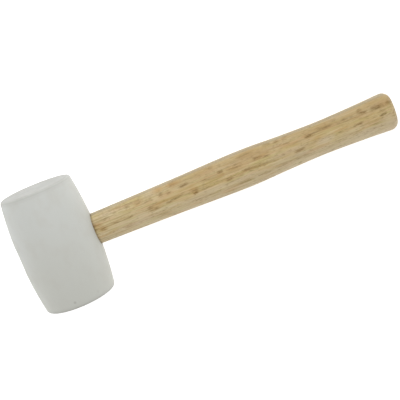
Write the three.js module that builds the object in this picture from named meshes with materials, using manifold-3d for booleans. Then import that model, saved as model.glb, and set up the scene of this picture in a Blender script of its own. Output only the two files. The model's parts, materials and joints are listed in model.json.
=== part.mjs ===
// A rubber mallet: a barrel-shaped rubber head on a contoured ash handle. The handle's tenon goes right
// through the head's oval eye, and a wooden wedge and two stepped steel wedges spread it there.
//
// Lengths are in millimetres. The mallet is modelled in its tool frame: the origin is the middle of the
// head, +X runs down the handle to the butt, +Y is the axis the faces strike along, and +Z is across both.
// The last section lays it on its side on a bench, where the head's belly and the handle's butt touch down.
import * as THREE from "three";
import { mergeVertices } from "three/addons/utils/BufferGeometryUtils.js";
import Module from "manifold-3d";

// --- Driving dimensions ----------------------------------------------------------------------------

const HEAD_LENGTH = 102; // from one striking face to the other
const HEAD_BELLY_RADIUS = 34.55; // halfway between the faces
const HEAD_END_RADIUS = 30.6; // where the barrel's arc would meet the face, without the rounded rim
const HEAD_RIM_RADIUS = 2.6; // the rounding between barrel and face

const HANDLE_END = 308.3; // the butt's furthest point, from the head's middle
const TENON_RECESS = 2.5; // how far the tenon's end lies below the crown of the head
const BUTT_ROUNDING = { along: 7, inward: 6.3 };
const BUTT_DOME = 1.3; // rise of the end face at its middle
const BUTT_DOME_RINGS = [0.6, 0.1]; // the end face's rings, as shares of its width
const SECTION_POWER = 2.35; // superellipse power of the oval: 2 is an ellipse, more is flatter-sided

// The handle's oval at each station: [distance from the head's middle, half its width, half its thickness].
const HANDLE_SECTIONS = {
  tenonEnd: [TENON_RECESS - HEAD_BELLY_RADIUS, 14.2, 10.4],
  eyeMiddle: [0, 13.3, 9.6],
  neck: [HEAD_BELLY_RADIUS + 6, 13.6, 9.8],
  shaft: [105, 14.8, 10.7],
  swell: [168, 16.3, 11.8],
  underSwell: [205, 15.1, 11.0],
  waist: [240, 14.4, 10.5],
  flare: [276, 15.4, 11.2],
  butt: [HANDLE_END - BUTT_DOME - BUTT_ROUNDING.along, 16.6, 12.3],
};

const WOOD_WEDGE = { length: 36, thick: 4, tip: 0.9 };
const KERF_PAST_WEDGE = 3; // the saw cut runs on this far past the wooden wedge's tip
const STEEL_WEDGE = { length: 18, thick: 3, tip: 0.8, width: 12, steps: 3, step: 0.35 };
const STEEL_WEDGE_OFFSET = 6.4; // from the handle's axis, along the oval's long way
const FIT_GAP = 0.3; // between pieces that touch on the real tool
const CUTTER_OVERRUN = { eye: 5, taper: 2 }; // how far a cutter runs on past what it cuts

const AROUND_HEAD = 64; // straight sides that stand for one turn
const AROUND_HANDLE = 36;
const ALONG_HANDLE = 44;
const ALONG_BARREL = 15; // an odd number, so that a flat strip lies on the bench
const ROUND_CORNER = 5;

// --- Solids ----------------------------------------------------------------------------------------

const wasm = await Module();
wasm.setup();

/** A closed three.js geometry as a solid that can be joined and cut. */
function solidOf(geometry) {
  const bare = geometry.clone();
  bare.deleteAttribute("normal");
  bare.deleteAttribute("uv");
  const merged = mergeVertices(bare, 1e-4);
  return new wasm.Manifold(
    new wasm.Mesh({
      numProp: 3,
      vertProperties: new Float32Array(merged.attributes.position.array),
      triVerts: new Uint32Array(merged.index.array),
    }),
  );
}

/** A solid as a three.js geometry. */
function geometryOf(solid) {
  const mesh = solid.getMesh();
  const geometry = new THREE.BufferGeometry();
  geometry.setAttribute("position", new THREE.BufferAttribute(mesh.vertProperties, 3));
  geometry.setIndex(new THREE.BufferAttribute(mesh.triVerts, 1));
  geometry.computeVertexNormals();
  return geometry;
}

/** A solid with other solids cut out of it. */
function cutBy(solid, tools) {
  return tools.reduce((left, tool) => left.subtract(tool), solid);
}

/** Points along an arc, from one angle to another, both included. */
function arc(centreX, centreY, radius, from, to, steps) {
  return Array.from({ length: steps + 1 }, (_, i) => {
    const angle = from + ((to - from) * i) / steps;
    return new THREE.Vector2(centreX + radius * Math.cos(angle), centreY + radius * Math.sin(angle));
  });
}

// --- Head ------------------------------------------------------------------------------------------

/** The barrel, turned about Y: a flat face, a rounded rim, one long arc, a rounded rim, a flat face. */
function barrel() {
  const half = HEAD_LENGTH / 2;
  const bulge = HEAD_BELLY_RADIUS - HEAD_END_RADIUS;
  const sideRadius = (half ** 2 + bulge ** 2) / (2 * bulge);
  const sideCentre = HEAD_BELLY_RADIUS - sideRadius;
  // The rim's circle touches both the face and the side's arc.
  const rimY = half - HEAD_RIM_RADIUS;
  const rimX = sideCentre + Math.sqrt((sideRadius - HEAD_RIM_RADIUS) ** 2 - rimY ** 2);
  const touch = Math.atan2(rimY, rimX - sideCentre);
  const profile = [
    new THREE.Vector2(0, -half),
    ...arc(rimX, -rimY, HEAD_RIM_RADIUS, -Math.PI / 2, -touch, ROUND_CORNER),
    ...arc(sideCentre, 0, sideRadius, -touch, touch, ALONG_BARREL).slice(1, -1),
    ...arc(rimX, rimY, HEAD_RIM_RADIUS, touch, Math.PI / 2, ROUND_CORNER),
    new THREE.Vector2(0, half),
  ];
  return new THREE.LatheGeometry(profile, AROUND_HEAD);
}

// --- Oval bodies: the handle and the eye -----------------------------------------------------------

const sections = new THREE.CatmullRomCurve3(
  Object.values(HANDLE_SECTIONS).map((section) => new THREE.Vector3(...section)),
  false,
  "catmullrom",
);

/** The handle's rings along its smooth contour, each { x, halfWidth, halfThickness }. */
function handleRings() {
  return sections.getPoints(ALONG_HANDLE).map(({ x, y, z }) => ({ x, halfWidth: y, halfThickness: z }));
}

/** A coordinate of the unit circle moved out to the superellipse. */
function squared(coordinate) {
  return Math.sign(coordinate) * Math.abs(coordinate) ** (2 / SECTION_POWER);
}

/**
 * A body of oval rings across X, closed by a flat end at the first and last. It starts as a unit drum
 * turned about Y, whose every ring is then moved to its place and stretched to its oval.
 */
function ovalBody(rings) {
  const last = rings.length - 1;
  const wall = rings.map((_, i) => new THREE.Vector2(1, i));
  const drum = [new THREE.Vector2(0, 0), ...wall, new THREE.Vector2(0, last)];
  const geometry = new THREE.LatheGeometry(drum, AROUND_HANDLE);
  const position = geometry.attributes.position;
  for (let i = 0; i < position.count; i++) {
    const { x, halfWidth, halfThickness } = rings[Math.round(position.getY(i))];
    const across = halfWidth * squared(position.getX(i));
    const up = halfThickness * squared(-position.getZ(i));
    position.setXYZ(i, x, across, up);
  }
  return geometry;
}

/** The handle before it is sawn and wedged: a flat tenon end, the shaft, and a rounded, domed butt. */
function handleBlank() {
  const rings = handleRings();
  const butt = rings[rings.length - 1];
  for (const corner of arc(0, 0, 1, 0, Math.PI / 2, ROUND_CORNER).slice(1)) {
    const inset = BUTT_ROUNDING.inward * (1 - corner.x);
    rings.push({
      x: butt.x + BUTT_ROUNDING.along * corner.y,
      halfWidth: butt.halfWidth - inset,
      halfThickness: butt.halfThickness - inset,
    });
  }
  const edge = rings[rings.length - 1];
  for (const share of BUTT_DOME_RINGS) {
    rings.push({
      x: edge.x + BUTT_DOME * (1 - share ** 2),
      halfWidth: edge.halfWidth * share,
      halfThickness: edge.halfThickness * share,
    });
  }
  return ovalBody(rings);
}

/** The eye: the tenon's own oval with the fit gap all round, run out past both sides of the head. */
function eyeTunnel() {
  const reach = HEAD_BELLY_RADIUS + CUTTER_OVERRUN.eye;
  const inHead = handleRings().filter(({ x }) => Math.abs(x) < reach);
  const rings = inHead.map(({ x, halfWidth, halfThickness }) => ({
    x,
    halfWidth: halfWidth + FIT_GAP,
    halfThickness: halfThickness + FIT_GAP,
  }));
  return ovalBody([{ ...rings[0], x: -reach }, ...rings, { ...rings[rings.length - 1], x: reach }]);
}

// --- Wedges ----------------------------------------------------------------------------------------

const tenonX = HANDLE_SECTIONS.tenonEnd[0];

/** Half of a driven wedge's thickness at a depth below the tenon's end. */
function halfThick(wedge, depth) {
  return (wedge.thick + ((wedge.tip - wedge.thick) * depth) / wedge.length) / 2;
}

/** A tapered outline in X and Y, from clear of the tenon's end to a depth, with a gap on each side. */
function taper(wedge, depth, gap) {
  const outside = CUTTER_OVERRUN.taper;
  const top = halfThick(wedge, 0) + gap;
  const bottom = halfThick(wedge, Math.min(depth, wedge.length)) + gap;
  return new THREE.Shape([
    new THREE.Vector2(tenonX - outside, -top),
    new THREE.Vector2(tenonX, -top),
    new THREE.Vector2(tenonX + depth, -bottom),
    new THREE.Vector2(tenonX + depth, bottom),
    new THREE.Vector2(tenonX, top),
    new THREE.Vector2(tenonX - outside, top),
  ]);
}

/** An outline in X and Y given a width along Z, half of it on each side. */
function plate(outline, width) {
  const geometry = new THREE.ExtrudeGeometry(outline, { depth: width, bevelEnabled: false });
  return geometry.translate(0, 0, -width / 2);
}

/** A slab that tapers the oval's short way and runs right across its long way: wooden wedge or kerf. */
function acrossTenon(depth, gap) {
  const pastBothSides = 4 * HANDLE_SECTIONS.tenonEnd[1];
  return solidOf(plate(taper(WOOD_WEDGE, depth, gap), pastBothSides).rotateX(Math.PI / 2));
}

/** The slot that a steel wedge presses for itself, at a place along the oval's long way. */
function steelWedgeSlot(offset) {
  const outline = taper(STEEL_WEDGE, STEEL_WEDGE.length + FIT_GAP, FIT_GAP);
  return solidOf(plate(outline, STEEL_WEDGE.width + 2 * FIT_GAP).translate(0, offset, 0));
}

/** A steel wedge: a tapered plate, stepped on both sides so that it can't back out. */
function steelWedge(offset) {
  const { length, width, steps, step } = STEEL_WEDGE;
  const side = [];
  for (let i = 0; i < steps; i++) {
    const from = (length * i) / steps;
    const to = (length * (i + 1)) / steps;
    const undercut = i < steps - 1 ? step / 2 : 0;
    side.push(new THREE.Vector2(tenonX + from, halfThick(STEEL_WEDGE, from)));
    side.push(new THREE.Vector2(tenonX + to, halfThick(STEEL_WEDGE, to) - undercut));
  }
  const otherSide = side.map(({ x, y }) => new THREE.Vector2(x, -y)).reverse();
  return plate(new THREE.Shape([...side, ...otherSide]), width).translate(0, offset, 0);
}

// --- Cutting the pieces to each other --------------------------------------------------------------

const steelOffsets = [-STEEL_WEDGE_OFFSET, STEEL_WEDGE_OFFSET];
const steelSlots = steelOffsets.map(steelWedgeSlot);
const blank = solidOf(handleBlank());
const kerf = acrossTenon(WOOD_WEDGE.length + KERF_PAST_WEDGE, FIT_GAP);

const headSolid = cutBy(solidOf(barrel()), [solidOf(eyeTunnel())]);
const handleSolid = cutBy(blank, [kerf, ...steelSlots]);
const woodWedgeSolid = cutBy(blank.intersect(acrossTenon(WOOD_WEDGE.length, 0)), steelSlots);

// --- Materials and meshes --------------------------------------------------------------------------

const rubber = new THREE.MeshStandardMaterial({ color: 0xcbcbc5, roughness: 0.75, metalness: 0 });
const ash = new THREE.MeshStandardMaterial({ color: 0xbfa277, roughness: 0.5, metalness: 0 });
const wedgeWood = new THREE.MeshStandardMaterial({ color: 0xa87d4f, roughness: 0.65, metalness: 0 });
const steel = new THREE.MeshStandardMaterial({ color: 0x8d8f91, roughness: 0.4, metalness: 1 });

function piece(name, geometry, material) {
  const mesh = new THREE.Mesh(geometry, material);
  mesh.name = name;
  return mesh;
}

const mallet = new THREE.Group();
mallet.add(
  piece("rubber_head", geometryOf(headSolid), rubber),
  piece("handle", geometryOf(handleSolid), ash),
  piece("wood_wedge", geometryOf(woodWedgeSolid), wedgeWood),
  piece("steel_wedge_1", steelWedge(steelOffsets[0]), steel),
  piece("steel_wedge_2", steelWedge(steelOffsets[1]), steel),
);

// --- Laying it on the bench ------------------------------------------------------------------------

/** How far the handle dips with belly and butt on one plane: the first section to touch sets it. */
function layAngle() {
  const grip = handleRings().filter(({ x }) => x > 2 * HEAD_BELLY_RADIUS);
  const dips = grip.map(({ x, halfThickness }) => {
    const reach = Math.hypot(x, halfThickness);
    return Math.asin(HEAD_BELLY_RADIUS / reach) - Math.atan2(halfThickness, x);
  });
  return Math.min(...dips);
}

mallet.rotation.y = layAngle();
const box = new THREE.Box3().setFromObject(mallet, true);
const middle = box.getCenter(new THREE.Vector3());
mallet.position.set(-middle.x, -middle.y, -box.min.z);

const part = new THREE.Group();
part.add(mallet);

export default part;
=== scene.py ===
"""The looks of the rubber mallet: a moulded rubber head, an ash handle and its three wedges."""

import json
import math

import bmesh
import bpy
import numpy as np
from mathutils import Matrix, Vector


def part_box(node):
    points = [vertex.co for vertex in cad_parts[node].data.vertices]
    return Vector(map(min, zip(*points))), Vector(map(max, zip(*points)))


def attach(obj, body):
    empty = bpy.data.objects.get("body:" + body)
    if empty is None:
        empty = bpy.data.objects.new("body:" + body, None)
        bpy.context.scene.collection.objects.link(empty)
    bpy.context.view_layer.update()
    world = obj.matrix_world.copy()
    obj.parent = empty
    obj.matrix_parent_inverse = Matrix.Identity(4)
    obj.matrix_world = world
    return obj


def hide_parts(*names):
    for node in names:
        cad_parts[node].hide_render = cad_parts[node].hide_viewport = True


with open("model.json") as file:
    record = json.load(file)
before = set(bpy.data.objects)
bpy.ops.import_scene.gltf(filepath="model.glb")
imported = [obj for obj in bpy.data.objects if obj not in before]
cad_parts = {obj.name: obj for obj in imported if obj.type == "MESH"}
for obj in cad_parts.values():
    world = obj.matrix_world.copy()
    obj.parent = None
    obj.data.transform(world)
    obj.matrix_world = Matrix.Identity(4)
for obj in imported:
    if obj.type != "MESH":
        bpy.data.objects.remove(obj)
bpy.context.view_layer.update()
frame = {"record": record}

# --- The tool frame, found from the CAD -----------------------------------------------------------
#
# Every mesh is first made in the tool frame: the origin is the middle of the head, +X runs down the
# handle to the butt, +Y is the striking axis and +Z is across both. The mallet lies on its side, so
# the row frame is the tool frame dipped about Y and moved.

MM = 0.001

mounts = {mount["name"]: Vector(mount["pos_m"]) for mount in frame["record"]["mounts"]}
HEAD_MIDDLE = (mounts["strike_face_a"] + mounts["strike_face_b"]) / 2


def box_middle(node):
    low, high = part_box(node)
    return (low + high) / 2


steel_middles = [box_middle("steel_wedge_1"), box_middle("steel_wedge_2")]
down_handle = HEAD_MIDDLE - (steel_middles[0] + steel_middles[1]) / 2
DIP = math.atan2(-down_handle.z, down_handle.x)
TOOL_TO_ROW = Matrix.Translation(HEAD_MIDDLE) @ Matrix.Rotation(DIP, 4, "Y")

# --- Dimensions, in millimetres -------------------------------------------------------------------

FACE_Y = (mounts["strike_face_a"] - mounts["strike_face_b"]).length / 2 / MM  # the +Y striking face
BELLY_RADIUS = HEAD_MIDDLE.z / MM  # the head lies on its belly
HEAD_END_RADIUS = 30.6  # where the side's arc would meet the striking faces if the rims were sharp
HEAD_RIM_RADIUS = 2.6
EYE_LIP_RADIUS = 0.5
EYE_GAP = 0.3  # between the tenon and the eye

HANDLE_END = 308.3
BUTT_ROUNDING_ALONG = 7.0
BUTT_ROUNDING_INWARD = 6.3
BUTT_DOME = 1.3
SECTION_POWER = 2.35  # the superellipse's power: 2 is an ellipse, and more is squarer

# The handle's oval at each station: distance from the head's middle, half width, half thickness.
HANDLE_STATIONS = [
    (-32.05, 14.2, 10.4),
    (0.0, 13.3, 9.6),
    (40.55, 13.6, 9.8),
    (105.0, 14.8, 10.7),
    (168.0, 16.3, 11.8),
    (205.0, 15.1, 11.0),
    (240.0, 14.4, 10.5),
    (276.0, 15.4, 11.2),
    (HANDLE_END - BUTT_DOME - BUTT_ROUNDING_ALONG, 16.6, 12.3),
]
TENON_END = HANDLE_STATIONS[0][0]

WOOD_WEDGE = {"length": 36.0, "thick": 4.0, "tip": 0.9}
KERF_PAST_WEDGE = 3.0
STEEL_WEDGE = {"length": 18.0, "thick": 3.0, "tip": 0.8, "width": 12.0, "steps": 3, "step": 0.35}
STEEL_BROKEN_EDGE = 0.12
STEEL_OFFSET = abs(steel_middles[0].y) / MM
WEDGE_GAP = 0.08  # between a wedge and its slot


# --- Mesh helpers ---------------------------------------------------------------------------------

MERGE_DISTANCE = 0.001  # millimetres
HEAD_CREASE = 60  # degrees
WOOD_AND_STEEL_CREASE = 35


def make_object(name, vertices, faces):
    """A mesh given in tool millimetres, stored in the row frame in metres."""
    mesh = bpy.data.meshes.new(name)
    mesh.from_pydata(vertices, [], faces)
    mesh.transform(TOOL_TO_ROW @ Matrix.Scale(MM, 4))
    face_outward(mesh)
    new_object = bpy.data.objects.new(name, mesh)
    bpy.context.scene.collection.objects.link(new_object)
    return new_object


def make_piece(name, vertices, faces, material, node):
    """A visible piece that stands for a CAD node."""
    piece = make_object(name, vertices, faces)
    piece.data.materials.append(material)
    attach(piece, "root")
    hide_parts(node)
    return piece


def face_outward(mesh):
    """Joins doubled vertices, drops unused ones and turns every face outward."""
    shell = bmesh.new()
    shell.from_mesh(mesh)
    bmesh.ops.remove_doubles(shell, verts=shell.verts, dist=MERGE_DISTANCE * MM)
    unused = [vertex for vertex in shell.verts if not vertex.link_faces]
    bmesh.ops.delete(shell, geom=unused, context="VERTS")
    bmesh.ops.recalc_face_normals(shell, faces=shell.faces)
    shell.to_mesh(mesh)
    shell.free()


def smooth_with_creases(mesh, crease_degrees):
    mesh.polygons.foreach_set("use_smooth", [True] * len(mesh.polygons))
    mesh.set_sharp_from_angle(angle=math.radians(crease_degrees))


def bake_modifiers(piece):
    """Replaces the piece's mesh with what its modifiers make of it."""
    depsgraph = bpy.context.evaluated_depsgraph_get()
    shaped = bpy.data.meshes.new_from_object(piece.evaluated_get(depsgraph), depsgraph=depsgraph)
    piece.modifiers.clear()
    piece.data = shaped


def strip(first, second):
    """Quads between two closed rings of vertex numbers, equally long."""
    quads = []
    for i in range(len(first)):
        j = (i + 1) % len(first)
        quads.append((first[i], first[j], second[j], second[i]))
    return quads


def fan(ring, pole):
    """Triangles from a closed ring of vertex numbers to one vertex."""
    return [(ring[i], ring[(i + 1) % len(ring)], pole) for i in range(len(ring))]


# --- Ovals ----------------------------------------------------------------------------------------

HALVINGS = 40  # of the range in which handle_section looks for its place


def catmull_rom(points, u):
    """The smooth curve through all the points, at u from 0 to 1."""
    spans = len(points) - 1
    at = min(u * spans, spans - 1e-9)
    i = int(at)
    t = at - i

    def point(k):
        if k < 0:
            return tuple(2 * a - b for a, b in zip(points[0], points[1]))
        if k > spans:
            return tuple(2 * a - b for a, b in zip(points[-1], points[-2]))
        return points[k]

    blended = []
    for a, b, c, d in zip(point(i - 1), point(i), point(i + 1), point(i + 2)):
        linear = (c - a) / 2
        square = a - 2.5 * b + 2 * c - d / 2
        cube = (d - a) / 2 + 1.5 * (b - c)
        blended.append(b + t * (linear + t * (square + t * cube)))
    return blended


def handle_section(x):
    """Half width and half thickness of the handle at a distance from the head's middle."""
    low, high = 0.0, 1.0
    for _ in range(HALVINGS):
        middle = (low + high) / 2
        if catmull_rom(HANDLE_STATIONS, middle)[0] < x:
            low = middle
        else:
            high = middle
    _, half_width, half_thickness = catmull_rom(HANDLE_STATIONS, low)
    return half_width, half_thickness


def oval_point(half_width, half_thickness, angle):
    """The superellipse's point in the direction of an angle, before the oval is stretched."""
    across, up = math.cos(angle), math.sin(angle)
    reach = (abs(across) ** SECTION_POWER + abs(up) ** SECTION_POWER) ** (-1 / SECTION_POWER)
    return half_width * reach * across, half_thickness * reach * up


# --- Rubber head ----------------------------------------------------------------------------------

RIM_GROOVE = {"y": 49.7, "half_width": 0.9, "depth": 0.05}

# How finely the head is divided. Columns go around it, and rows go from one striking face to the other.
HEAD_COLUMNS = 144
HEAD_ROWS = 64
RIM_ROWS = 18
GROOVE_ROWS = 5
FACE_RINGS = 12
PATCH_COLUMNS = 12  # each way from the eye's middle
PATCH_ROWS = 14  # each way from the eye's middle
PATCH_RINGS = 8
LIP_RINGS = 6
TUNNEL_RINGS = 24


def side_arc():
    """The long arc of the head's side: its radius, and how far its centre is from the head's axis."""
    bulge = BELLY_RADIUS - HEAD_END_RADIUS
    side_radius = (FACE_Y**2 + bulge**2) / (2 * bulge)
    return side_radius, BELLY_RADIUS - side_radius


def barrel_profile():
    """(radius, y) from one face's edge to the other. A fine groove runs where each rounded rim starts."""
    side_radius, side_centre = side_arc()
    rim_y = FACE_Y - HEAD_RIM_RADIUS
    rim_x = side_centre + math.sqrt((side_radius - HEAD_RIM_RADIUS) ** 2 - rim_y**2)
    touch = math.atan2(rim_y, rim_x - side_centre)
    rim_start = rim_y + HEAD_RIM_RADIUS * math.sin(touch)
    groove_start = RIM_GROOVE["y"] - RIM_GROOVE["half_width"]

    def grooved(radius, y):
        across = (y - RIM_GROOVE["y"]) / RIM_GROOVE["half_width"]
        dent = math.cos(math.pi / 2 * across) ** 2 if abs(across) < 1 else 0
        return radius - RIM_GROOVE["depth"] * dent, y

    def rim(k):
        angle = math.pi / 2 + (touch - math.pi / 2) * k / RIM_ROWS
        return grooved(rim_x + HEAD_RIM_RADIUS * math.cos(angle), rim_y + HEAD_RIM_RADIUS * math.sin(angle))

    def beside_rim(k):
        y = rim_start + (groove_start - rim_start) * k / GROOVE_ROWS
        return grooved(barrel_radius(y), y)

    end = [rim(k) for k in range(RIM_ROWS)] + [beside_rim(k) for k in range(GROOVE_ROWS + 1)]
    rows = [groove_start * (2 * k / HEAD_ROWS - 1) for k in range(1, HEAD_ROWS)]
    side = [(barrel_radius(y), y) for y in rows]
    return [(r, -y) for r, y in end] + side + [(r, y) for r, y in reversed(end)]


def barrel_radius(y):
    """The barrel's radius on its long arc."""
    side_radius, side_centre = side_arc()
    return side_centre + math.sqrt(side_radius**2 - y**2)


def eye_section(x):
    """Half width and half thickness of the eye: the handle's, with a gap all around."""
    half_width, half_thickness = handle_section(max(x, TENON_END))
    return half_width + EYE_GAP, half_thickness + EYE_GAP


class Shell:
    """A mesh that is being built: its vertices, and its faces as vertex numbers."""

    def __init__(self):
        self.vertices = []
        self.faces = []

    def add(self, x, y, z):
        self.vertices.append((x, y, z))
        return len(self.vertices) - 1


def turn_profile(shell, profile):
    """Turns the profile about Y. Returns its vertex numbers by column and row."""
    grid = []
    for column in range(HEAD_COLUMNS):
        angle = 2 * math.pi * column / HEAD_COLUMNS
        grid.append([shell.add(r * math.cos(angle), y, r * math.sin(angle)) for r, y in profile])
    return grid


def add_side(shell, grid):
    """The barrel's side, with a square hole around each mouth of the eye."""
    row_count = len(grid[0])
    middle_row = row_count // 2
    eye_rows = range(middle_row - PATCH_ROWS, middle_row + PATCH_ROWS)
    eye_columns = {
        (centre + offset) % HEAD_COLUMNS
        for centre in (0, HEAD_COLUMNS // 2)
        for offset in range(-PATCH_COLUMNS, PATCH_COLUMNS)
    }
    for column in range(HEAD_COLUMNS):
        here, beside = grid[column], grid[(column + 1) % HEAD_COLUMNS]
        for row in range(row_count - 1):
            if column not in eye_columns or row not in eye_rows:
                shell.faces.append((here[row], here[row + 1], beside[row + 1], beside[row]))


def add_striking_face(shell, outer, edge_radius, y):
    """A flat face in rings, from the side's last ring to a pole."""
    for ring in range(1, FACE_RINGS):
        radius = edge_radius * (1 - ring / FACE_RINGS)
        inner = []
        for column in range(HEAD_COLUMNS):
            angle = 2 * math.pi * column / HEAD_COLUMNS
            inner.append(shell.add(radius * math.cos(angle), y, radius * math.sin(angle)))
        shell.faces.extend(strip(outer, inner))
        outer = inner
    shell.faces.extend(fan(outer, shell.add(0, y, 0)))


def around_hole(middle_row):
    """The square hole's edge, as (column, row). Columns are counted from the eye's middle."""
    low_row, high_row = middle_row - PATCH_ROWS, middle_row + PATCH_ROWS
    return (
        [(-PATCH_COLUMNS + k, low_row) for k in range(2 * PATCH_COLUMNS)]
        + [(PATCH_COLUMNS, low_row + k) for k in range(2 * PATCH_ROWS)]
        + [(PATCH_COLUMNS - k, high_row) for k in range(2 * PATCH_COLUMNS)]
        + [(-PATCH_COLUMNS, high_row - k) for k in range(2 * PATCH_ROWS)]
    )


def add_eye_mouth(shell, grid, side):
    """Rings from the square hole in to the eye and over its lip. Returns the last ring and its angles."""
    centre = 0 if side > 0 else HEAD_COLUMNS // 2
    edge = around_hole(len(grid[0]) // 2)
    outer = [grid[(centre + side * column) % HEAD_COLUMNS][row] for column, row in edge]
    square = [shell.vertices[number][1:] for number in outer]
    widest = max(abs(y) for y, _ in square)
    tallest = max(abs(z) for _, z in square)
    angles = [math.atan2(z / tallest, y / widest) for y, z in square]
    half_width, half_thickness = eye_section(side * BELLY_RADIUS)

    def ring_at(spread, drop, share):
        """The eye's oval widened by spread, sunk by drop, and a share of the way out to the square."""
        ring = []
        for angle, (square_y, square_z) in zip(angles, square):
            y, z = oval_point(half_width + spread, half_thickness + spread, angle)
            y += (square_y - y) * share
            z += (square_z - z) * share
            x = math.sqrt(barrel_radius(y) ** 2 - z**2) - drop
            ring.append(shell.add(side * x, y, z))
        return ring

    steps = [(EYE_LIP_RADIUS, 0, 1 - k / PATCH_RINGS) for k in range(1, PATCH_RINGS + 1)]
    for k in range(1, LIP_RINGS + 1):
        turn = math.pi / 2 * k / LIP_RINGS
        steps.append((EYE_LIP_RADIUS * (1 - math.sin(turn)), EYE_LIP_RADIUS * (1 - math.cos(turn)), 0))
    for step in steps:
        inner = ring_at(*step)
        shell.faces.extend(strip(outer, inner))
        outer = inner
    return outer, angles


def add_eye_wall(shell, near, far, angles):
    """The wall of the eye, from one mouth's last ring to the other's."""
    outer = near
    for k in range(1, TUNNEL_RINGS):
        inner = []
        for angle, near_number, far_number in zip(angles, near, far):
            near_x, far_x = shell.vertices[near_number][0], shell.vertices[far_number][0]
            x = near_x + (far_x - near_x) * (k / TUNNEL_RINGS)
            inner.append(shell.add(x, *oval_point(*eye_section(x), angle)))
        shell.faces.extend(strip(outer, inner))
        outer = inner
    shell.faces.extend(strip(outer, far))


def build_head(material):
    profile = barrel_profile()
    shell = Shell()
    grid = turn_profile(shell, profile)
    add_side(shell, grid)
    for row, y in ((0, -FACE_Y), (-1, FACE_Y)):
        add_striking_face(shell, [column[row] for column in grid], profile[row][0], y)
    near, angles = add_eye_mouth(shell, grid, 1)
    far, _ = add_eye_mouth(shell, grid, -1)
    add_eye_wall(shell, near, far, angles)
    name = "rubber_head_moulding"
    head = make_piece(name, shell.vertices, shell.faces, material, "rubber_head")
    smooth_with_creases(head.data, HEAD_CREASE)


# --- Handle and wedges ----------------------------------------------------------------------------

HANDLE_RINGS = 300
HANDLE_SIDES = 160
BUTT_RINGS = 12
DOME_RINGS = 8

THROUGH_WIDTH = 4 * HANDLE_STATIONS[0][1]  # more than the tenon's, so that a cutter goes right through
CUTTER_OVERRUN = 2.0  # how far a cutter stands out of the tenon's end
BLANK_PAST_WEDGE = 6.0  # how far the oval that trims the wood wedge goes on beyond its tip
BROKEN_EDGE_SEGMENTS = 3


def handle_rings():
    """(x, half width, half thickness) of rings from the tenon's end to the butt's."""
    rings = [catmull_rom(HANDLE_STATIONS, k / HANDLE_RINGS) for k in range(HANDLE_RINGS + 1)]
    butt_x, butt_width, butt_thickness = rings[-1]
    for k in range(1, BUTT_RINGS + 1):
        turn = math.pi / 2 * k / BUTT_RINGS
        inset = BUTT_ROUNDING_INWARD * (1 - math.cos(turn))
        rings.append((
            butt_x + BUTT_ROUNDING_ALONG * math.sin(turn),
            butt_width - inset,
            butt_thickness - inset,
        ))
    edge_x, edge_width, edge_thickness = rings[-1]
    for k in range(1, DOME_RINGS):
        share = 1 - k / DOME_RINGS
        rings.append((edge_x + BUTT_DOME * (1 - share**2), edge_width * share, edge_thickness * share))
    return rings


def oval_tube(rings):
    """Oval rings across X joined by quads: vertices, faces and each ring's vertex numbers."""
    vertices = []
    for x, half_width, half_thickness in rings:
        for k in range(HANDLE_SIDES):
            vertices.append((x, *oval_point(half_width, half_thickness, 2 * math.pi * k / HANDLE_SIDES)))
    loops = [list(range(r * HANDLE_SIDES, (r + 1) * HANDLE_SIDES)) for r in range(len(rings))]
    faces = []
    for first, second in zip(loops, loops[1:]):
        faces.extend(strip(first, second))
    return vertices, faces, loops


def slab(outline, width):
    """Vertices and faces of an outline of (x, y) points given a width along Z."""
    vertices = [(x, y, z) for z in (-width / 2, width / 2) for x, y in outline]
    low = list(range(len(outline)))
    high = [k + len(outline) for k in low]
    return vertices, [tuple(low), tuple(high), *strip(low, high)]


def taper(wedge, gap, width, past=0.0):
    """A slab with a wedge's taper, from outside the tenon's end to some way past the wedge's tip."""
    deep = wedge["length"] + past
    top = wedge["thick"] / 2 + gap
    tip = wedge["tip"] / 2 + gap
    outline = [
        (TENON_END - CUTTER_OVERRUN, -top),
        (TENON_END, -top),
        (TENON_END + deep, -tip),
        (TENON_END + deep, tip),
        (TENON_END, top),
        (TENON_END - CUTTER_OVERRUN, top),
    ]
    return slab(outline, width)


def turned(vertices):
    """A quarter turn about X, so that a slab's width runs the oval's long way."""
    return [(x, z, -y) for x, y, z in vertices]


def moved(vertices, offset):
    return [(x, y + offset, z) for x, y, z in vertices]


def cut(piece, tool, operation):
    """Shapes a piece with a tool, which is used up."""
    change = piece.modifiers.new("fit", "BOOLEAN")
    change.operation = operation
    change.solver = "EXACT"
    change.object = tool
    bake_modifiers(piece)
    bpy.data.objects.remove(tool)


def steel_slots():
    """The tools that cut the steel wedges' slots."""
    width = STEEL_WEDGE["width"] + 2 * WEDGE_GAP
    slots = []
    for offset in (-STEEL_OFFSET, STEEL_OFFSET):
        vertices, faces = taper(STEEL_WEDGE, WEDGE_GAP, width, past=WEDGE_GAP)
        slots.append(make_object("slot", moved(vertices, offset), faces))
    return slots


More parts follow.
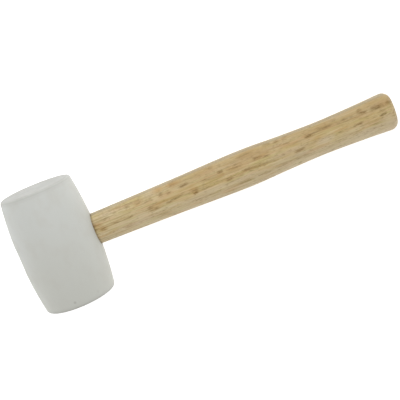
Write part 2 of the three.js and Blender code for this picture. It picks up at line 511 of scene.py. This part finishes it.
# The wood's figure on the handle's upper side: dark strokes where a growth ring's pores come to the
# surface, as (start x, start y, end x, end y, half width, depth). They were read off the photo.
PORE_STROKES = [
    (28, 3.8, 37, 4.0, 1.6, 0.9), (34, 3.4, 42, 3.2, 1.3, 0.5), (28, 0.4, 38, 0.2, 1.3, 0.75),
    (37, -0.6, 44, -1.6, 1.4, 0.75), (40, 4.9, 49, 7.4, 1.2, 0.6), (45, 1.0, 58, -0.3, 0.8, 0.45),
    (53, -0.6, 66, -0.4, 0.8, 0.45), (61, -0.4, 69, 0.4, 0.9, 0.6), (62.5, 8.9, 68, 8.5, 1.1, 0.8),
    (71, 8.4, 79, 8.6, 1.3, 0.5), (56, -7.3, 67, -7.3, 1.1, 0.45), (68, 6.2, 73, 6.4, 0.8, 0.3),
    (79, 0.8, 86, 1.0, 1.1, 0.65), (77, -1.1, 93, -1.3, 1.1, 0.5), (85, -1.9, 91, -1.7, 0.9, 0.6),
    (76, 6.4, 89, 7.0, 0.9, 0.55), (83, 7.1, 88, 6.8, 0.9, 0.6), (92, 7.6, 98, 8.2, 1.5, 0.8),
    (97, 6.8, 106, 7.0, 0.8, 0.7), (95, -0.6, 104, -0.2, 1.1, 0.65), (99, -0.3, 113, 1.2, 1.1, 0.75),
    (88, -8.1, 101, -8.0, 0.9, 0.45), (103, 12.6, 113, 12.3, 1.2, 0.5), (110, 7.4, 121, 8.6, 1.1, 0.95),
    (120, -1.9, 126, -1.3, 1.4, 1.0), (119, 0.6, 128, 1.2, 1.8, 0.55), (123, 5.3, 151, 5.9, 0.9, 0.6),
    (144.5, 7.0, 151.5, 7.4, 1.3, 1.0), (147, 5.0, 152, 4.8, 1.2, 0.5), (126, -1.2, 139, -1.0, 0.8, 0.4),
    (138, 0.6, 152, 0.2, 0.7, 0.35), (149, -1.3, 158, -1.1, 1.3, 1.0), (156, -1.6, 168, -1.8, 0.9, 0.5),
    (159, -8.6, 176, -8.8, 1.1, 0.65), (138, 13.0, 145, 13.1, 1.1, 0.6), (161, 12.6, 183, 12.6, 1.0, 0.65),
    (152, 5.9, 168, 6.1, 1.0, 0.65), (159, 8.4, 169, 8.4, 1.1, 0.4), (164, 0.9, 179, 1.0, 1.1, 0.75),
    (175, 1.3, 187, 1.6, 0.8, 0.35), (176, 6.6, 187, 6.2, 1.2, 0.95), (184, 5.6, 195, 5.2, 1.0, 0.7),
    (188, 13.5, 198, 13.4, 1.0, 0.7), (198, 12.7, 205, 12.8, 1.0, 0.85), (205, 13.4, 215, 13.5, 0.9, 0.5),
    (168, -2.1, 178, -2.1, 0.8, 0.35), (191, -1.4, 200, -1.5, 0.9, 0.6), (196, 4.5, 205, 4.7, 1.1, 0.6),
    (211, -1.1, 224, -0.6, 1.2, 0.95), (224, 7.1, 234, 7.4, 1.4, 1.0), (230, 7.6, 246, 8.8, 1.2, 0.75),
    (174, -8.3, 193, -8.2, 1.0, 0.6), (191, -7.8, 210, -7.2, 1.0, 0.55), (207, -7.2, 228, -6.7, 1.0, 0.5),
    (206, 8.3, 214, 8.5, 1.0, 0.35), (240, 8.6, 253, 8.8, 1.1, 0.65), (249, 11.0, 257, 11.6, 1.2, 0.5),
    (254, 8.7, 272, 8.9, 1.0, 0.45), (273, 10.6, 280, 11.6, 1.5, 0.65), (274, 8.5, 284, 8.6, 1.1, 0.85),
    (285, 8.7, 299, 8.7, 1.8, 1.0), (298, 9.0, 306, 8.8, 1.2, 0.7), (289, 3.9, 299, 4.2, 1.0, 0.7),
    (290, 1.0, 299, 1.0, 1.2, 0.9), (283, 1.4, 292, 1.3, 0.8, 0.4), (267, 0.5, 278, 1.4, 1.1, 0.85),
    (253, 0.6, 259, 0.6, 0.9, 0.5), (243, -6.0, 264, -6.0, 0.9, 0.4), (263, -6.0, 275, -6.0, 0.9, 0.4),
    (282, -5.0, 293, -4.6, 1.0, 0.35), (273, -2.2, 279, -2.2, 0.8, 0.35),
]

# Broad tints on the upper side, read in the same way: (x, y, half length, half width, depth).
AMBER_PATCHES = [
    (36, 3.4, 6, 3, 0.5), (40, -0.6, 5, 3, 0.5), (61, -7.0, 6, 2.5, 0.4), (75, 8.6, 5, 3, 0.5),
    (88, 0.0, 7, 3, 0.45), (93, 12.5, 7, 3, 0.7), (108, 12.5, 8, 3, 0.7), (122, 1.4, 5, 5, 0.6),
    (136, 12.0, 14, 4, 0.45), (148, 5.5, 5, 3, 0.5), (178, 11.2, 16, 4, 0.45), (229, 7.4, 7, 3, 0.7),
    (244, 8.7, 14, 3, 0.5), (298, 9.2, 8, 3.5, 0.7),
    (100, 6.6, 10, 2.5, 0.6), (162, 6.4, 14, 2.5, 0.6), (188, 6.4, 14, 2.5, 0.5), (210, 7.0, 10, 2.5, 0.4),
]
PALE_PATCHES = [
    (47, 10.0, 8, 3.5, 0.5), (60, -3.6, 14, 3, 0.4), (74, -2.6, 10, 3, 0.5), (86, 12.0, 8, 3, 0.6),
    (100, -3.6, 20, 2.5, 0.45), (135, -4.1, 22, 2.5, 0.6), (165, -4.6, 18, 2.5, 0.5),
    (203, -3.6, 16, 3, 0.5), (225, 4.4, 10, 2.5, 0.4), (241, -1.1, 12, 3.5, 0.9), (258, 13.0, 12, 3, 0.4),
    (262, -2.6, 20, 2.5, 0.4), (276, -9.0, 14, 4, 0.5), (297, -2.6, 8, 3, 0.5), (68, -6.8, 26, 2.2, 0.6),
    (120, -6.6, 24, 2, 0.4), (218, -4.0, 12, 2.2, 0.7), (300, -9.0, 8, 3, 0.5),
    (212, 0.3, 28, 4.5, 0.5),
]

STROKE_SPREAD = 1.4  # a stroke fades out over this many of its half widths
FIGURE_START = 2.0  # how far above or below the handle's middle the figure begins to show
FIGURE_FADE = 3.0  # and over what height it comes to its full depth


def pore_depth(x, y):
    """How dark the pore strokes are at points of the upper side, as an array of 0 to 1."""
    depth = np.zeros_like(x)
    for start_x, start_y, end_x, end_y, half_width, strength in PORE_STROKES:
        along = (2 * x - start_x - end_x) / (end_x - start_x)
        line_y = (start_y + end_y + along * (end_y - start_y)) / 2
        fade = np.clip(1 - along**2, 0, 1)
        across = np.clip(1 - ((y - line_y) / (STROKE_SPREAD * half_width)) ** 2, 0, 1)
        depth = np.maximum(depth, strength * fade * across)
    return depth


def tint_depth(patches, x, y):
    """How strong a kind of tint is at points of the upper side, as an array of 0 to 1."""
    depth = np.zeros_like(x)
    for patch_x, patch_y, half_length, half_width, strength in patches:
        away = ((x - patch_x) / half_length) ** 2 + ((y - patch_y) / half_width) ** 2
        depth = np.maximum(depth, strength * np.clip(1 - away, 0, 1))
    return depth


def mark_figure(handle):
    """Stores on the mesh its figure, and how far each point faces the narrow sides.

    The underside has the same figure as the upper side, turned end for end.
    """
    mesh = handle.data
    places = np.empty(3 * len(mesh.vertices), dtype=np.float32)
    mesh.vertices.foreach_get("co", places)
    to_tool = np.array((TOOL_TO_ROW @ Matrix.Scale(MM, 4)).inverted())
    x, y, z = to_tool[:3, :3] @ places.reshape(-1, 3).T + to_tool[:3, 3:]
    above = np.clip((z - FIGURE_START) / FIGURE_FADE, 0, 1)
    below = np.clip((-z - FIGURE_START) / FIGURE_FADE, 0, 1)
    turned_x = HANDLE_END + BELLY_RADIUS - x

    def store(name, values):
        marks = mesh.attributes.new(name, "FLOAT", "POINT")
        marks.data.foreach_set("value", values.astype(np.float32))

    store("pore_strokes", above * pore_depth(x, y) + below * pore_depth(turned_x, -y))
    for name, patches in (("amber", AMBER_PATCHES), ("pale", PALE_PATCHES)):
        store(name, above * tint_depth(patches, x, y) + below * tint_depth(patches, turned_x, -y))
    normals = np.empty(3 * len(mesh.vertices), dtype=np.float32)
    mesh.vertices.foreach_get("normal", normals)
    store("narrow_sides", np.abs(normals.reshape(-1, 3)[:, 1]))


def build_handle(material):
    vertices, faces, loops = oval_tube(handle_rings())
    for loop, x in ((loops[0], TENON_END), (loops[-1], HANDLE_END)):
        faces.extend(fan(loop, len(vertices)))
        vertices.append((x, 0, 0))
    handle = make_piece("ash_handle", vertices, faces, material, "handle")
    kerf, kerf_faces = taper(WOOD_WEDGE, WEDGE_GAP, THROUGH_WIDTH, past=KERF_PAST_WEDGE)
    for tool in (make_object("kerf", turned(kerf), kerf_faces), *steel_slots()):
        cut(handle, tool, "DIFFERENCE")
    smooth_with_creases(handle.data, WOOD_AND_STEEL_CREASE)
    mark_figure(handle)


def build_wood_wedge(material):
    """A tapered slab trimmed to the tenon's oval, with slots for the steel wedges."""
    vertices, faces = taper(WOOD_WEDGE, 0, THROUGH_WIDTH)
    wedge = make_piece("wood_wedge_body", turned(vertices), faces, material, "wood_wedge")
    blank_end = TENON_END + WOOD_WEDGE["length"] + BLANK_PAST_WEDGE
    blank, blank_faces, loops = oval_tube([ring for ring in handle_rings() if ring[0] < blank_end])
    blank_faces.extend((tuple(loops[0]), tuple(loops[-1])))
    cut(wedge, make_object("tenon", blank, blank_faces), "INTERSECT")
    for tool in steel_slots():
        cut(wedge, tool, "DIFFERENCE")
    smooth_with_creases(wedge.data, WOOD_AND_STEEL_CREASE)


def build_steel_wedge(number, offset, material):
    """A tapered plate, stepped on both sides, with its edges just broken."""
    length, steps = STEEL_WEDGE["length"], STEEL_WEDGE["steps"]

    def half_thick(depth):
        thick, tip = STEEL_WEDGE["thick"], STEEL_WEDGE["tip"]
        return (thick + (tip - thick) * depth / length) / 2

    side = []
    for k in range(steps):
        start, end = length * k / steps, length * (k + 1) / steps
        undercut = STEEL_WEDGE["step"] / 2 if k < steps - 1 else 0
        side.append((TENON_END + start, half_thick(start)))
        side.append((TENON_END + end, half_thick(end) - undercut))
    vertices, faces = slab(side + [(x, -y) for x, y in reversed(side)], STEEL_WEDGE["width"])
    node = f"steel_wedge_{number}"
    wedge = make_piece(f"{node}_body", moved(vertices, offset), faces, material, node)
    edges = wedge.modifiers.new("broken edges", "BEVEL")
    edges.width = STEEL_BROKEN_EDGE * MM
    edges.segments = BROKEN_EDGE_SEGMENTS
    bake_modifiers(wedge)
    smooth_with_creases(wedge.data, WOOD_AND_STEEL_CREASE)


# --- Materials ------------------------------------------------------------------------------------

class Shader:
    """A material's node tree, with the tool frame in millimetres as its coordinates."""

    def __init__(self, name):
        self.material = bpy.data.materials.new(name)
        self.material.use_nodes = True
        self.tree = self.material.node_tree
        self.tree.nodes.clear()
        output = self.tree.nodes.new("ShaderNodeOutputMaterial")
        self.surface = self.tree.nodes.new("ShaderNodeBsdfPrincipled")
        self.tree.links.new(self.surface.outputs[0], output.inputs["Surface"])
        place = self.add("ShaderNodeTexCoord")
        mapping = self.add("ShaderNodeMapping", vector_type="TEXTURE")
        mapping.inputs["Location"].default_value = HEAD_MIDDLE
        mapping.inputs["Rotation"].default_value = (0, DIP, 0)
        mapping.inputs["Scale"].default_value = (MM, MM, MM)
        self.tree.links.new(place.outputs["Object"], mapping.inputs["Vector"])
        axes = self.add("ShaderNodeSeparateXYZ")
        self.tree.links.new(mapping.outputs[0], axes.inputs[0])
        self.x, self.y, self.z = axes.outputs

    def add(self, kind, **settings):
        node = self.tree.nodes.new(kind)
        for setting, value in settings.items():
            setattr(node, setting, value)
        return node

    def feed(self, socket, value):
        """Links a socket to another node's output, or sets it to a constant."""
        if isinstance(value, bpy.types.NodeSocket):
            self.tree.links.new(value, socket)
        else:
            socket.default_value = value

    def join(self, x, y, z):
        node = self.add("ShaderNodeCombineXYZ")
        for socket, value in zip(node.inputs, (x, y, z)):
            self.feed(socket, value)
        return node.outputs[0]

    def math(self, operation, *values, clamp=False):
        node = self.add("ShaderNodeMath", operation=operation, use_clamp=clamp)
        for socket, value in zip(node.inputs, values):
            self.feed(socket, value)
        return node.outputs[0]

    def stretched(self, length_x, length_y, length_z, seed=0.0):
        """The position in units of a feature's size along each axis, moved to a place of its own."""
        return self.join(
            self.math("MULTIPLY_ADD", self.x, 1 / length_x, seed),
            self.math("MULTIPLY_ADD", self.y, 1 / length_y, seed * 1.7),
            self.math("MULTIPLY_ADD", self.z, 1 / length_z, seed * 2.3),
        )

    def stored(self, attribute):
        """A value that was stored on the mesh."""
        return self.add("ShaderNodeAttribute", attribute_name=attribute).outputs["Fac"]

    def radial(self, *lengths):
        """The length of a vector given by its components."""
        total = 0.0
        for length in lengths:
            total = self.math("MULTIPLY_ADD", length, length, total)
        return self.math("SQRT", total)

    def noise(self, vector, detail=2.0, roughness=0.5):
        node = self.add("ShaderNodeTexNoise")
        self.feed(node.inputs["Vector"], vector)
        node.inputs["Scale"].default_value = 1.0
        node.inputs["Detail"].default_value = detail
        node.inputs["Roughness"].default_value = roughness
        return node.outputs["Fac"]

    def cells(self, vector):
        """Voronoi cells: the distance from the nearest cell's point, and that cell's random value."""
        node = self.add("ShaderNodeTexVoronoi")
        self.feed(node.inputs["Vector"], vector)
        node.inputs["Scale"].default_value = 1.0
        red = self.add("ShaderNodeSeparateColor")
        self.feed(red.inputs[0], node.outputs["Color"])
        return node.outputs["Distance"], red.outputs[0]

    def between(self, value, low, high, to_low=0.0, to_high=1.0):
        """value eased from low..high to to_low..to_high, and held there beyond."""
        node = self.add("ShaderNodeMapRange", interpolation_type="SMOOTHSTEP")
        self.feed(node.inputs["Value"], value)
        node.inputs["From Min"].default_value = low
        node.inputs["From Max"].default_value = high
        node.inputs["To Min"].default_value = to_low
        node.inputs["To Max"].default_value = to_high
        return node.outputs["Result"]

    def mix(self, factor, first, second):
        """The first colour where the factor is 0, and the second where it is 1."""
        node = self.add("ShaderNodeMix", data_type="RGBA")
        self.feed(node.inputs["Factor"], factor)
        self.feed(node.inputs["A"], first if isinstance(first, bpy.types.NodeSocket) else (*first, 1))
        self.feed(node.inputs["B"], second if isinstance(second, bpy.types.NodeSocket) else (*second, 1))
        return node.outputs["Result"]

    def bump(self, height, distance):
        """Surface relief from a height of 0 to 1, over a distance in millimetres."""
        node = self.add("ShaderNodeBump")
        node.inputs["Distance"].default_value = distance * MM
        self.feed(node.inputs["Height"], height)
        self.tree.links.new(node.outputs[0], self.surface.inputs["Normal"])

    def set(self, socket, value):
        """Feeds a socket of the surface shader."""
        self.feed(self.surface.inputs[socket], value)


def linear(red, green, blue):
    """A colour given as 0 to 255 on screen, as the linear values that shaders take."""
    def channel(value):
        value /= 255
        return value / 12.92 if value <= 0.04045 else ((value + 0.055) / 1.055) ** 2.4

    return channel(red), channel(green), channel(blue)


# Tiny specks on the head's upper side: (x, y, depth).
HEAD_SPECKS = [(-2.8, -44.9, 0.3), (17.6, -44.7, 0.1)]


def rim_line(s, along):
    """A soft dark line that the photo shows on the rounding of the rim."""
    line = s.math(
        "MULTIPLY",
        s.between(along, FACE_Y - 2.4, FACE_Y - 1.2, 0.13, 0.5),
        s.between(along, FACE_Y - 5.0, FACE_Y - 2.4),
    )
    return s.math("MULTIPLY", line, s.between(along, FACE_Y - 0.55, FACE_Y - 0.03, 1, 0))


def rubber_ground(s, cloud):
    """Clouded rubber, a little aged towards one end, with a line by each rim, and striking faces that are
    scuffed and painted darker as shade.
    """
    along = s.math("ABSOLUTE", s.y)
    broad = s.noise(s.stretched(40, 55, 40, 3), detail=2)
    aged = s.between(s.math("MULTIPLY_ADD", broad, 60.0, s.y), -10, 65, 1, 0)
    colour = s.mix(aged, linear(209, 211, 206), linear(206, 207, 199))
    colour = s.mix(s.between(cloud, 0.45, 0.7, 0, 0.35), colour, linear(203, 202, 194))
    colour = s.mix(rim_line(s, along), colour, linear(172, 172, 164))
    # Painted shade: the striking faces are painted darker all over, to offset the extra light they catch.
    # The scuffs that follow are wear.
    on_face = s.between(along, FACE_Y - 0.5, FACE_Y - 0.1)
    colour = s.mix(s.math("MULTIPLY", on_face, 0.8), colour, linear(170, 170, 165))
    scuff = s.noise(s.stretched(7, 7, 7, 12), detail=5, roughness=0.65)
    scuffed = s.math("MULTIPLY", on_face, s.between(scuff, 0.5, 0.7, 0, 0.35))
    return s.mix(scuffed, colour, linear(160, 158, 150))


def specked(s, colour):
    """The head's own specks, and a few more all over."""
    for speck_x, speck_y, depth in HEAD_SPECKS:
        away = s.radial(s.math("SUBTRACT", s.x, speck_x), s.math("SUBTRACT", s.y, speck_y))
        dot = s.math("MULTIPLY", s.between(away, 0.5, 1.7, depth, 0), s.math("GREATER_THAN", s.z, 0))
        colour = s.mix(dot, colour, linear(140, 136, 126))
    away, pick = s.cells(s.stretched(9, 9, 9, 5))
    chosen = s.math("GREATER_THAN", pick, 0.88)
    speck = s.math("MULTIPLY", s.between(away, 0.03, 0.075, 1, 0), chosen)
    return s.mix(s.math("MULTIPLY", speck, 0.5), colour, linear(120, 112, 98))


def rubber_material():
    s = Shader("moulded white rubber")
    cloud = s.noise(s.stretched(10, 14, 10, 8), detail=3, roughness=0.55)
    colour = specked(s, rubber_ground(s, cloud))
    _, eye_width, eye_thickness = HANDLE_STATIONS[0]
    eye = s.radial(s.math("MULTIPLY", s.y, 1 / eye_width), s.math("MULTIPLY", s.z, 1 / eye_thickness))
    # Grime and painted shade: the rubber is painted darker inside the eye, where the gap around the tenon
    # lies in shade.
    in_eye = s.between(eye, 0.97, 1.0, 1, 0)
    colour = s.mix(s.math("MULTIPLY", in_eye, 0.75), colour, linear(96, 86, 70))
    s.set("Base Color", colour)
    s.set("Roughness", s.between(cloud, 0.3, 0.7, 0.5, 0.62))
    s.set("IOR", 1.5)
    grain = s.noise(s.stretched(0.5, 0.5, 0.5), detail=3, roughness=0.6)
    swell = s.noise(s.stretched(11, 11, 11, 2), detail=2)
    s.bump(s.math("MULTIPLY_ADD", swell, 3.0, grain), 0.05)
    return s.material


# The tree's pith runs along the handle, off to one side and below it. In millimetres.
PITH_Y = -62.9
PITH_Z = -30.0
RING_WIDTH = 6.95
BARREL_FALL = 0.0015  # the barrel's radius falls by this times the square of the distance from its middle


def growth_rings(s):
    """The distance from the pith, the angle about it, and how far a point is early wood, from 0 to 1."""
    drift = s.noise(s.stretched(120, 60, 60, 1), detail=2)
    sway = s.noise(s.stretched(35, 14, 14, 6), detail=2)
    across = s.math("MULTIPLY_ADD", drift, 4.0, s.math("SUBTRACT", s.y, PITH_Y))
    across = s.math("MULTIPLY_ADD", sway, 2.4, across)
    up = s.math("SUBTRACT", s.z, PITH_Z)
    from_pith = s.radial(across, up)
    ring = s.math("FRACT", s.math("DIVIDE", from_pith, RING_WIDTH))
    early = s.math("MULTIPLY", s.between(ring, 0.0, 0.08), s.between(ring, 0.22, 0.6, 1, 0))
    return from_pith, s.math("ARCTAN2", up, across), early


def ash_ground(s, early, cluster, fibre):
    """The wood's own colour: patches, early wood and fibre."""
    patches = s.noise(s.stretched(30, 6, 6, 4), detail=3, roughness=0.55)
    colour = s.mix(s.between(patches, 0.35, 0.65), linear(203, 177, 117), linear(214, 192, 141))
    pale_side = s.between(s.math("MULTIPLY_ADD", patches, 8.0, s.y), -3.0, 3.0, 1, 0)
    colour = s.mix(s.math("MULTIPLY", pale_side, 0.65), colour, linear(208, 190, 154))
    near_head = s.between(s.x, 40, 150, 1, 0)
    colour = s.mix(s.math("MULTIPLY", near_head, 0.6), colour, linear(214, 199, 158))
    toned = s.math("MULTIPLY", early, s.between(cluster, 0.3, 0.7, 0.1, 0.45))
    colour = s.mix(toned, colour, linear(172, 142, 84))
    colour = s.mix(s.between(fibre, 0.5, 0.72, 0, 0.35), colour, linear(164, 134, 84))
    return s.mix(s.between(fibre, 0.28, 0.45, 0.35, 0), colour, linear(222, 205, 166))


def ash_streaks(s, colour):
    """Long thin streaks, darker and paler, redder and greener."""
    streak = s.noise(s.stretched(26, 1.25, 1.25, 21), detail=2)
    colour = s.mix(s.between(streak, 0.5, 0.72, 0, 0.6), colour, linear(158, 130, 76))
    colour = s.mix(s.between(streak, 0.28, 0.48, 0.55, 0), colour, linear(224, 205, 162))
    hue = s.noise(s.stretched(22, 1.6, 1.6, 25), detail=2)
    colour = s.mix(s.between(hue, 0.5, 0.68, 0, 0.35), colour, linear(210, 172, 130))
    return s.mix(s.between(hue, 0.32, 0.5, 0.45, 0), colour, linear(192, 176, 108))


def ash_tints(s, colour):
    """The amber and pale tints, and broad tones towards either edge of the upper side."""
    tint = s.noise(s.stretched(20, 3, 3, 14), detail=2)
    tint = s.math("MULTIPLY_ADD", s.between(tint, 0.52, 0.7), 0.4, s.stored("amber"))
    colour = s.mix(s.math("MULTIPLY", tint, 0.75, clamp=True), colour, linear(192, 146, 80))
    colour = s.mix(s.math("MULTIPLY", s.stored("pale"), 0.7), colour, linear(214, 197, 166))
    far_side = s.math("MULTIPLY", s.between(s.y, 2.0, 12.0), s.between(s.x, 70, 130, 0.05, 0.4))
    colour = s.mix(far_side, colour, linear(172, 146, 104))
    near_side = s.math("MULTIPLY", s.between(s.y, -9.0, -3.0, 1, 0), s.between(s.x, 150, 250, 0.15, 0.35))
    return s.mix(near_side, colour, linear(222, 206, 172))


def with_end_grain(s, colour, from_pith, around, early):
    """Rays and rings on the tenon's end and the butt."""
    rays_at = s.join(s.math("MULTIPLY", around, 90.0), s.math("MULTIPLY", from_pith, 0.12), 0.0)
    rays = s.noise(rays_at, detail=1)
    end_grain = s.mix(s.between(rays, 0.4, 0.65), linear(190, 162, 112), linear(206, 182, 136))
    end_grain = s.mix(s.math("MULTIPLY", early, 0.8), end_grain, linear(146, 114, 66))
    at_tenon_end = s.math("LESS_THAN", s.x, TENON_END + 0.05)
    at_butt = s.between(s.x, HANDLE_END - 5.0, HANDLE_END - 1.5)
    ends = s.math("MAXIMUM", at_tenon_end, at_butt)
    return s.mix(s.math("MULTIPLY", ends, 0.7), colour, end_grain)


def with_strokes(s, colour):
    """The pore strokes, frayed by the fibre. Returns the colour and where the open pores are."""
    strokes = s.stored("pore_strokes")
    strands = s.noise(s.stretched(8, 0.5, 0.5, 17), detail=4, roughness=0.65)
    frayed = s.math("MULTIPLY_ADD", s.math("SUBTRACT", strands, 0.5), 1.6, strokes)
    frayed = s.math("MULTIPLY", s.between(frayed, 0.05, 1.0), s.between(strokes, 0, 0.2))
    brown = s.noise(s.stretched(25, 5, 5, 30), detail=1)
    stroke_colour = s.mix(s.between(brown, 0.4, 0.6), linear(142, 118, 52), linear(151, 112, 52))
    colour = s.mix(s.math("MULTIPLY", frayed, 0.45), colour, stroke_colour)
    open_pores = s.between(s.noise(s.stretched(5, 0.28, 0.28, 19), detail=2), 0.47, 0.56)
    open_pores = s.math("MULTIPLY", open_pores, frayed)
    return s.mix(s.math("MULTIPLY", open_pores, 0.85), colour, linear(126, 94, 36)), open_pores


def with_dashes(s, colour, early, cluster):
    """Single pores all over, coarse and fine. Returns the colour and where they are."""
    pore, pick = s.cells(s.stretched(6.0, 0.6, 0.6, 3))
    chance = s.math("MULTIPLY_ADD", s.between(cluster, 0.4, 0.65), -0.5, 1.02)
    chance = s.math("MULTIPLY_ADD", early, -0.35, chance)
    coarse = s.math("MULTIPLY", s.between(pore, 0.18, 0.42, 1, 0), s.math("GREATER_THAN", pick, chance))
    colour = s.mix(s.math("MULTIPLY", coarse, 0.5), colour, linear(130, 102, 54))
    pore, pick = s.cells(s.stretched(3.2, 0.3, 0.3, 9))
    chosen = s.math("GREATER_THAN", pick, s.between(early, 0, 1, 0.88, 0.5))
    fine = s.math("MULTIPLY", s.between(pore, 0.15, 0.4, 1, 0), chosen)
    colour = s.mix(s.math("MULTIPLY", fine, 0.5), colour, linear(132, 104, 58))
    return colour, s.math("ADD", coarse, fine)


def with_grime_and_painted_shade(s, colour):
    """Painted shade that greys the narrow sides, and grime with painted shade in the corner where the
    handle enters the head.
    """
    # Painted shade: the narrow sides are painted greyer, more on the +Y side than the -Y side.
    facing = s.between(s.stored("narrow_sides"), 0.75, 0.97)
    narrow = s.math("MULTIPLY", facing, s.between(s.y, -6, 6, 0.13, 0.4))
    colour = s.mix(narrow, colour, linear(122, 119, 104))
    # Grime and painted shade: the wood is painted darker in the corner between the head and the handle.
    from_axis = s.math("MULTIPLY_ADD", s.math("MULTIPLY", s.y, s.y), BARREL_FALL, s.radial(s.x, s.z))
    at_head = s.between(from_axis, BELLY_RADIUS + 0.15, BELLY_RADIUS + 1.75, 1, 0)
    return s.mix(s.math("MULTIPLY", at_head, 0.45), colour, linear(84, 66, 38))


def ash_material():
    s = Shader("lacquered ash")
    from_pith, around, early = growth_rings(s)
    fibre = s.noise(s.stretched(16, 0.55, 0.55, 2), detail=3, roughness=0.6)
    cluster = s.noise(s.stretched(18, 2.6, 2.6, 11), detail=2)
    colour = ash_ground(s, early, cluster, fibre)
    colour = ash_streaks(s, colour)
    colour = ash_tints(s, colour)
    colour = with_end_grain(s, colour, from_pith, around, early)
    colour, open_pores = with_strokes(s, colour)
    colour, dashes = with_dashes(s, colour, early, cluster)
    s.set("Base Color", with_grime_and_painted_shade(s, colour))
    s.set("Roughness", s.between(fibre, 0.3, 0.7, 0.42, 0.55))
    s.set("IOR", 1.48)
    s.set("Coat Weight", 0.15)
    s.set("Coat Roughness", 0.3)
    relief = s.math("SUBTRACT", s.math("MULTIPLY", fibre, 0.5), dashes)
    s.bump(s.math("SUBTRACT", relief, open_pores), 0.05)
    return s.material


def wedge_wood_material():
    s = Shader("bare wedge wood")
    fibre = s.noise(s.stretched(14, 0.4, 0.7, 2), detail=4, roughness=0.6)
    bands = s.noise(s.stretched(60, 3.5, 8, 7), detail=2)
    colour = s.mix(s.between(bands, 0.35, 0.65), linear(168, 132, 90), linear(184, 148, 104))
    colour = s.mix(s.between(fibre, 0.45, 0.75, 0, 0.6), colour, linear(128, 88, 52))
    s.set("Base Color", colour)
    s.set("Roughness", s.between(fibre, 0.3, 0.7, 0.6, 0.75))
    s.bump(fibre, 0.08)
    return s.material


def wedge_steel_material():
    s = Shader("rolled wedge steel")
    scratches = s.noise(s.stretched(0.15, 0.15, 5, 2), detail=3, roughness=0.6)
    scale = s.noise(s.stretched(2.5, 2.5, 2.5, 4), detail=4, roughness=0.6)
    colour = s.mix(s.between(scale, 0.4, 0.65), linear(150, 148, 144), linear(134, 130, 124))
    colour = s.mix(s.between(scratches, 0.5, 0.7, 0, 0.4), colour, linear(112, 108, 104))
    s.set("Base Color", colour)
    s.set("Metallic", 1.0)
    s.set("Roughness", s.between(scale, 0.35, 0.7, 0.38, 0.52))
    s.bump(scratches, 0.02)
    return s.material


# --- The mallet -----------------------------------------------------------------------------------

build_head(rubber_material())
build_handle(ash_material())
build_wood_wedge(wedge_wood_material())
steel = wedge_steel_material()
for number, middle in enumerate(steel_middles, start=1):
    build_steel_wedge(number, middle.y / MM, steel)

# --- Floor, light and camera ----------------------------------------------------------------------

FLOOR_HALF = 6.0
FLOOR_GLOW = 0.7
WORLD_STRENGTH = 0.58


def build_floor():
    mesh = bpy.data.meshes.new("floor")
    corners = [(-1, -1), (1, -1), (1, 1), (-1, 1)]
    mesh.from_pydata([(x * FLOOR_HALF, y * FLOOR_HALF, 0) for x, y in corners], [], [(0, 1, 2, 3)])
    white = bpy.data.materials.new("white floor")
    white.use_nodes = True
    paint = white.node_tree.nodes["Principled BSDF"]
    paint.inputs["Base Color"].default_value = (0.8, 0.8, 0.8, 1)
    paint.inputs["Roughness"].default_value = 0.9
    paint.inputs["Emission Color"].default_value = (1, 1, 1, 1)
    paint.inputs["Emission Strength"].default_value = FLOOR_GLOW
    mesh.materials.append(white)
    floor = bpy.data.objects.new("floor", mesh)
    bpy.context.scene.collection.objects.link(floor)


def light_world():
    world = bpy.data.worlds.new("studio")
    world.use_nodes = True
    background = world.node_tree.nodes["Background"]
    background.inputs["Color"].default_value = (1, 1, 1, 1)
    background.inputs["Strength"].default_value = WORLD_STRENGTH
    bpy.context.scene.world = world


def soft_light(name, position, size, power):
    """A square lamp aimed at the head."""
    lamp = bpy.data.lights.new(name, "AREA")
    lamp.shape = "SQUARE"
    lamp.size = size
    lamp.energy = power
    lamp_object = bpy.data.objects.new(name, lamp)
    bpy.context.scene.collection.objects.link(lamp_object)
    lamp_object.location = position
    lamp_object.rotation_euler = (HEAD_MIDDLE - Vector(position)).to_track_quat("-Z", "Y").to_euler()


build_floor()
light_world()
soft_light("key", (0.01, 0.405, 0.587), size=0.5, power=1.6)
soft_light("fill", (-0.9, 0.1, 0.4), size=0.6, power=0.35)

# The camera is nearly overhead. It leans towards the +Y face and is rolled so that the handle climbs.
# Its angles and distance come from a fit to the photo's outline, and were then adjusted.
CAMERA_DISTANCE = 0.749  # from the head's middle, in metres
CAMERA_LENS = 80.1  # millimetres
LEAN_TO_BUTT = math.radians(-2.8)
LEAN_TO_FACE = math.radians(11.3)
ROLL = math.radians(21.43)
HEAD_IN_VIEW = (-0.1192, -0.0367)  # the head's middle, in metres right and up of the line of sight

to_row = TOOL_TO_ROW.to_3x3()
back = to_row @ Vector((
    math.sin(LEAN_TO_BUTT) * math.cos(LEAN_TO_FACE),
    math.sin(LEAN_TO_FACE),
    math.cos(LEAN_TO_BUTT) * math.cos(LEAN_TO_FACE),
))
level_right = Vector((0, 1, 0)).cross(back).normalized()
level_up = back.cross(level_right)
right = math.cos(ROLL) * level_right - math.sin(ROLL) * level_up
up = math.sin(ROLL) * level_right + math.cos(ROLL) * level_up

camera_data = bpy.data.cameras.new("camera")
camera_data.sensor_width = 36
camera_data.lens = CAMERA_LENS
camera_data.clip_start = 0.01
camera_data.clip_end = 50
camera = bpy.data.objects.new("camera", camera_data)
bpy.context.scene.collection.objects.link(camera)
place = HEAD_MIDDLE + CAMERA_DISTANCE * back - HEAD_IN_VIEW[0] * right - HEAD_IN_VIEW[1] * up
facing = Matrix((right, up, back)).transposed().to_4x4()
camera.matrix_world = Matrix.Translation(place) @ facing
bpy.context.scene.camera = camera
bpy.context.scene.view_settings.view_transform = "Standard"
